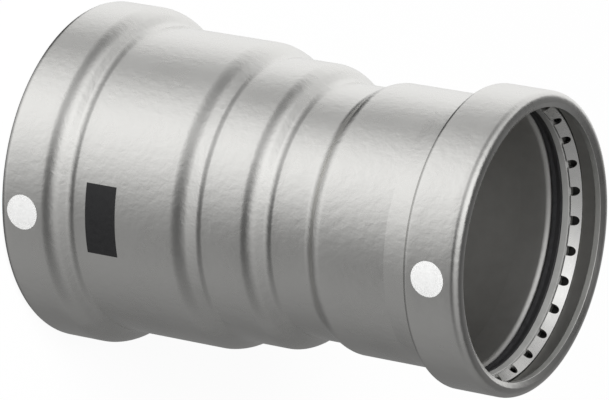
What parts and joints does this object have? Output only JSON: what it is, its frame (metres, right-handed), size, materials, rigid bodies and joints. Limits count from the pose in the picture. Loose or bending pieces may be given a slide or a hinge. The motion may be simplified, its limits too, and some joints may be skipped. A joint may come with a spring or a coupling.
{
  "type": "press fit reducing coupling",
  "caption": "Straight press fit pipe reducer: a stepped formed steel shell with a collar at each mouth that holds a slotted grip ring, a separator ring and a rubber seal.",
  "frame": {"origin": "centre of the large mouth's face, on the axis", "axes": "+Z along the axis, from the large mouth to the small one; the part stands on its large mouth"},
  "size_m": [0.1034, 0.1034, 0.1547],
  "materials": {
    "body_steel": "satin zinc-nickel plated",
    "ring_steel": "bright rolled",
    "seal_rubber": "smooth matt",
    "mark_white": "matt print",
    "mark_dark": "matt print"
  },
  "bodies": {
    "root": {"fitting_body": "body_steel", "small_grip_ring": "ring_steel", "small_separator_ring": "ring_steel", "small_seal": "seal_rubber", "large_grip_ring": "ring_steel", "large_separator_ring": "ring_steel", "large_seal": "seal_rubber"}
  },
  "joints": []
}
